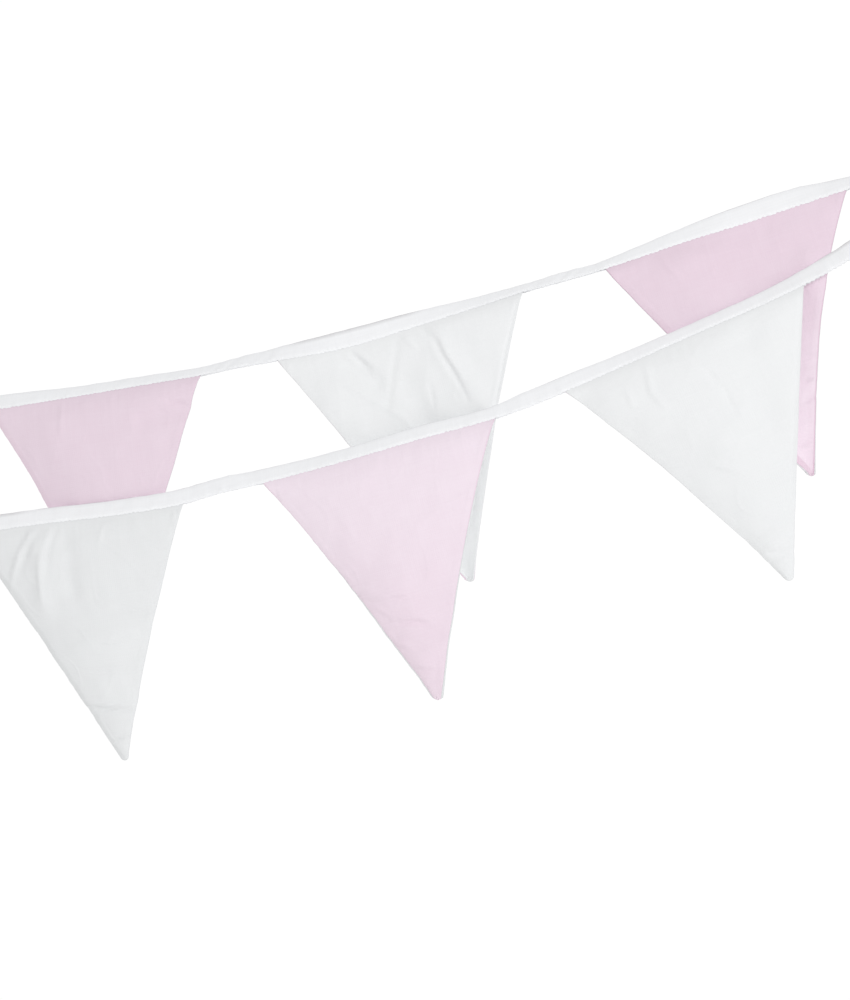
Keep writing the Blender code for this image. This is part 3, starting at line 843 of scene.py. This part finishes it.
def woven_cotton(name, colour, deep, weave, bump):
    """Return plain-woven cotton, washed and pressed: matt, faintly napped, with the grain of its threads.

    The eye sees soft flat colour with faint straight slubs both ways, and a deeper colour from an attribute
    that is painted shade and, near a flag's sewn edge, partly the turned-in cloth behind.
    """
    material, tree = new_material(name)
    cloth = add_node(tree, "UVMap", {}, uv_map="cloth").outputs["UV"]
    warp, weft = (
        add_node(tree, "TexWave", {"Vector": cloth, "Scale": BAND / weave, "Distortion": 0.5, "Detail": 1.0,
                                   "Detail Scale": 0.3}, bands_direction=way)
        for way in "XY"
    )
    threads = add_node(tree, "Math", {0: warp.outputs["Fac"], 1: weft.outputs["Fac"]}, operation="MULTIPLY")
    slubs_each_way = []
    for x, y in ((SLUB_WIDE, SLUB_LONG), (SLUB_LONG, SLUB_WIDE)):
        drawn = add_node(tree, "Mapping", {"Vector": cloth, "Scale": (1 / x, 1 / y, 1)})
        noise = add_node(tree, "TexNoise", {"Vector": drawn.outputs["Vector"], "Scale": 1.0, "Detail": 2.0})
        slubs_each_way.append(noise.outputs["Fac"])
    slubs = add_node(tree, "Math", dict(enumerate(slubs_each_way)), operation="ADD")
    mottle = add_node(tree, "TexNoise", {"Vector": cloth, "Scale": 1 / MOTTLE, "Detail": 3.0,
                                         "Roughness": 0.55})
    uneven = add_node(tree, "Math", {0: slubs.outputs[0], 1: mottle.outputs["Fac"]}, operation="ADD")
    tone = add_node(tree, "MapRange", {"Value": uneven.outputs[0], "From Min": 0.9, "From Max": 2.1,
                                       "To Min": 0.0, "To Max": 0.13})
    # This attribute deepens the colour: painted shade, and on the flags' sides partly the turned-in cloth
    # behind
    turnings_and_shade = add_node(tree, "Attribute", {}, attribute_name="deeper_and_shaded").outputs["Fac"]
    deepened = add_node(tree, "Math", {0: turnings_and_shade, 1: 0.55, 2: tone.outputs["Result"]},
                       operation="MULTIPLY_ADD")
    shade = add_node(tree, "Mix", {"Factor": deepened.outputs[0], COLOUR_A: linear(colour),
                                   COLOUR_B: linear(deep)}, data_type="RGBA")
    height = add_node(tree, "Math", {0: slubs.outputs[0], 1: 0.8, 2: threads.outputs[0]},
                      operation="MULTIPLY_ADD")
    relief = add_node(tree, "Bump", {"Strength": bump, "Distance": 0.12 * MM, "Height": height.outputs[0]})
    shader = add_node(tree, "BsdfPrincipled", {
        "Base Color": shade.outputs[COLOUR_OUT], "Roughness": 0.92, "IOR": 1.47, "Specular IOR Level": 0.25,
        "Sheen Weight": 0.12, "Sheen Roughness": 0.45, "Normal": relief.outputs["Normal"]})
    add_node(tree, "OutputMaterial", {"Surface": shader.outputs[0]})
    return material


def polyester_thread(name, colour):
    """Return spun sewing thread: white, with a little more shine than the cloth it lies on."""
    material, tree = new_material(name)
    place = add_node(tree, "TexCoord", {}).outputs["Object"]
    # The thread's twist is drawn as fine slanting bands
    twist = add_node(tree, "TexWave", {"Vector": place, "Scale": BAND / TWIST}, bands_direction="DIAGONAL")
    relief = add_node(tree, "Bump", {"Strength": 0.3, "Distance": 0.05 * MM,
                                     "Height": twist.outputs["Fac"]})
    shader = add_node(tree, "BsdfPrincipled", {
        "Base Color": linear(colour), "Roughness": 0.6, "IOR": 1.53, "Specular IOR Level": 0.35,
        "Sheen Weight": 0.1, "Normal": relief.outputs["Normal"]})
    add_node(tree, "OutputMaterial", {"Surface": shader.outputs[0]})
    return material


def painted_floor(name, colour, paler):
    """Return a matt painted studio floor with the faint clouds of its roller."""
    material, tree = new_material(name)
    place = add_node(tree, "TexCoord", {}).outputs["Object"]
    clouds = add_node(tree, "TexNoise", {"Vector": place, "Scale": 3.0, "Detail": 3.0})
    shade = add_node(tree, "Mix", {"Factor": clouds.outputs["Fac"], COLOUR_A: linear(colour),
                                   COLOUR_B: linear(paler)}, data_type="RGBA")
    shader = add_node(tree, "BsdfPrincipled", {"Base Color": shade.outputs[COLOUR_OUT], "Roughness": 0.8})
    add_node(tree, "OutputMaterial", {"Surface": shader.outputs[0]})
    return material


# ---------------------------------------------------------------------------------------------------------
# Camera, light and floor
# ---------------------------------------------------------------------------------------------------------

AIM = Vector((-0.4843, -0.0115, -0.3066))
CAMERA_TURN = math.radians(13)
CAMERA_AWAY = 1.5
LENS, SENSOR = 67.5, 36  # in mm
FLOOR_X, FLOOR_Z, FLOOR_RADIUS = -0.48, -1.25, 1.5

LOW_GLOW, HIGH_GLOW = 0.56, 0.70  # the room round the bunting, from the floor to the ceiling
WALL_GLOW = 1.02  # the white wall behind it
# Lamps: name, place, size in metres, power in watts and the place they point at
LAMPS = (("key", (0.60, -2.60, 0.06), 0.7, 30.5, (-0.45, 0, -0.30)),)


def set_camera():
    """Stand the camera level, where the photograph was taken from."""
    data = bpy.data.cameras.new("camera")
    data.lens, data.sensor_width, data.sensor_fit = LENS, SENSOR, "AUTO"
    camera = bpy.data.objects.new("camera", data)
    ahead = Vector((-math.sin(CAMERA_TURN), math.cos(CAMERA_TURN), 0))
    camera.location = AIM - ahead * CAMERA_AWAY
    camera.rotation_euler = (math.pi / 2, 0, CAMERA_TURN)
    bpy.context.scene.collection.objects.link(camera)
    bpy.context.scene.camera = camera


def set_studio():
    """Set a white studio: a lit wall behind, softer light from the front, and a pale floor."""
    scene = bpy.context.scene
    scene.view_settings.view_transform = "Standard"
    scene.world = bpy.data.worlds.new("studio")
    scene.world.use_nodes = True
    tree = scene.world.node_tree
    tree.nodes.clear()
    towards = add_node(tree, "TexCoord", {}).outputs["Generated"]
    parts = add_node(tree, "SeparateXYZ", {"Vector": towards})
    room = add_node(tree, "MapRange", {"Value": parts.outputs["Z"], "From Min": -1.0, "From Max": 1.0,
                                       "To Min": LOW_GLOW, "To Max": HIGH_GLOW})
    wall = add_node(tree, "MapRange", {"Value": parts.outputs["Y"], "From Min": -0.1, "From Max": 0.5})
    light = add_node(tree, "Mix", {"Factor": wall.outputs["Result"], VALUE_A: room.outputs["Result"],
                                   VALUE_B: WALL_GLOW}, data_type="FLOAT")
    glow = add_node(tree, "Background", {"Color": (1, 1, 1, 1), "Strength": light.outputs[0]})
    add_node(tree, "OutputWorld", {"Surface": glow.outputs[0]})

    for name, place, size, power, aim in LAMPS:
        data = bpy.data.lights.new(name, "AREA")
        data.shape, data.size, data.energy = "DISK", size, power
        lamp = bpy.data.objects.new(name, data)
        lamp.location = place
        lamp.rotation_euler = (Vector(aim) - Vector(place)).to_track_quat("-Z", "Y").to_euler()
        scene.collection.objects.link(lamp)

    bm = bmesh.new()
    bmesh.ops.create_circle(bm, cap_ends=True, segments=96, radius=FLOOR_RADIUS)
    bmesh.ops.translate(bm, verts=bm.verts, vec=(FLOOR_X, 0, FLOOR_Z))
    floor = new_piece("studio_floor", bm, painted_floor("matt_painted_floor", "#F2F2F1", "#F8F8F8"))


# ---------------------------------------------------------------------------------------------------------
# The scene
# ---------------------------------------------------------------------------------------------------------

set_camera()
set_studio()
# Each cotton's second colour is the deeper one that painted shade, and on the flags' sides the turned-in
# cloth, mixes towards
white_cotton = woven_cotton("white_plain_weave_cotton", "#EEEFF0", "#D7D9DA", WEAVE, 0.26)
pink_cotton = woven_cotton("pink_plain_weave_cotton", "#F0E4ED", "#D7B9CA", WEAVE, 0.26)
binding_cotton = woven_cotton("white_binding_cotton", "#F8F9FB", "#C6C4C6", BINDING_WEAVE, 0.24)
thread = polyester_thread("white_sewing_thread", "#F8F8F8")
cottons = {"white": white_cotton, "pink": pink_cotton}

for flag in FLAGS:
    make_ply(flag, 1, cottons[flag.face])
    make_ply(flag, -1, cottons[flag.back])
tape = make_tape(binding_cotton)
topstitching = make_topstitching(thread)
